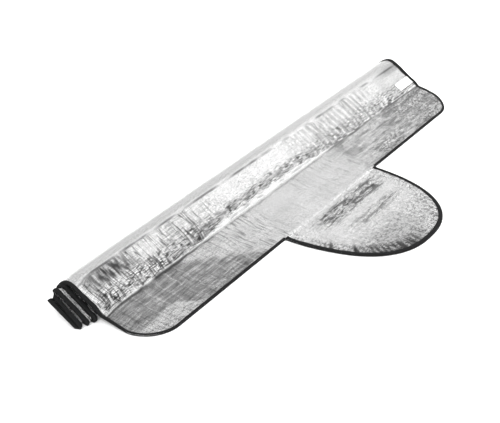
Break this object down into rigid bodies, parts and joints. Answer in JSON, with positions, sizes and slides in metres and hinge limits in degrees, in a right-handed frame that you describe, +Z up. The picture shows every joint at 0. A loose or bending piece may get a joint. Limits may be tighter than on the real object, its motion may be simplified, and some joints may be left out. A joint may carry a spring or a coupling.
{
  "type": "rolled foil-faced foam mat",
  "caption": "Long foil-faced foam mat with fabric-bound edges and a rounded sewn tab, loosely rolled flat with its free end laid out in front.",
  "frame": {"origin": "middle of the whole footprint, on the floor", "axes": "+X along the roll, from the end where the inner turns slide out to the other end; +Y from the flat free end to the back of the roll; +Z up"},
  "size_m": [1.45, 0.5602, 0.0693],
  "materials": {
    "foil": "bright crinkled metallised film",
    "foam": "closed-cell foam",
    "edge_tape": "woven binding tape",
    "thread": "sewing thread",
    "label": "blank woven patch"
  },
  "bodies": {
    "roll": {"core_turn_foam": "foam", "core_turn_inner_film": "foil", "core_turn_left_tape": "edge_tape", "core_turn_outer_film": "foil", "core_turn_right_tape": "edge_tape", "inner_end_cross_tape": "edge_tape", "inner_end_foam": "foam", "inner_end_inner_film": "foil", "inner_end_left_tape": "edge_tape", "inner_end_outer_film": "foil", "inner_end_right_tape": "edge_tape", "outer_wrap_foam": "foam", "outer_wrap_inner_film": "foil", "outer_wrap_left_tape": "edge_tape", "outer_wrap_outer_film": "foil", "outer_wrap_right_tape": "edge_tape", "second_turn_foam": "foam", "second_turn_inner_film": "foil", "second_turn_left_tape": "edge_tape", "second_turn_outer_film": "foil", "second_turn_right_tape": "edge_tape", "third_turn_foam": "foam", "third_turn_inner_film": "foil", "third_turn_left_tape": "edge_tape", "third_turn_outer_film": "foil", "third_turn_right_tape": "edge_tape"},
    "outer_turn": {"blank_label": "label", "slope_foam": "foam", "slope_inner_film": "foil", "slope_left_stitching": "thread", "slope_left_tape": "edge_tape", "slope_outer_film": "foil", "slope_right_stitching": "thread", "slope_right_tape": "edge_tape"},
    "apron": {"apron_foam": "foam", "apron_inner_film": "foil", "apron_left_stitching": "thread", "apron_left_tape": "edge_tape", "apron_outer_film": "foil", "apron_right_stitching": "thread", "apron_right_tape": "edge_tape"},
    "tab": {"tab_foam": "foam", "tab_inner_film": "foil", "tab_outer_film": "foil", "tab_stitching": "thread", "tab_tape": "edge_tape"}
  },
  "joints": [
    {"name": "outer_turn_lift", "type": "hinge", "parent": "roll", "child": "outer_turn", "pos_m": [0, 0.21459, 0.06277], "axis": [-1, 0, 0], "range_deg": [0, 45]},
    {"name": "apron_lift", "type": "hinge", "parent": "outer_turn", "child": "apron", "pos_m": [0, 0.13904, 0.01556], "axis": [-1, 0, 0], "range_deg": [0, 60]},
    {"name": "tab_fold", "type": "hinge", "parent": "apron", "child": "tab", "pos_m": [0, -0.00596, 0.005], "axis": [-1, 0, 0], "range_deg": [0, 120]}
  ]
}
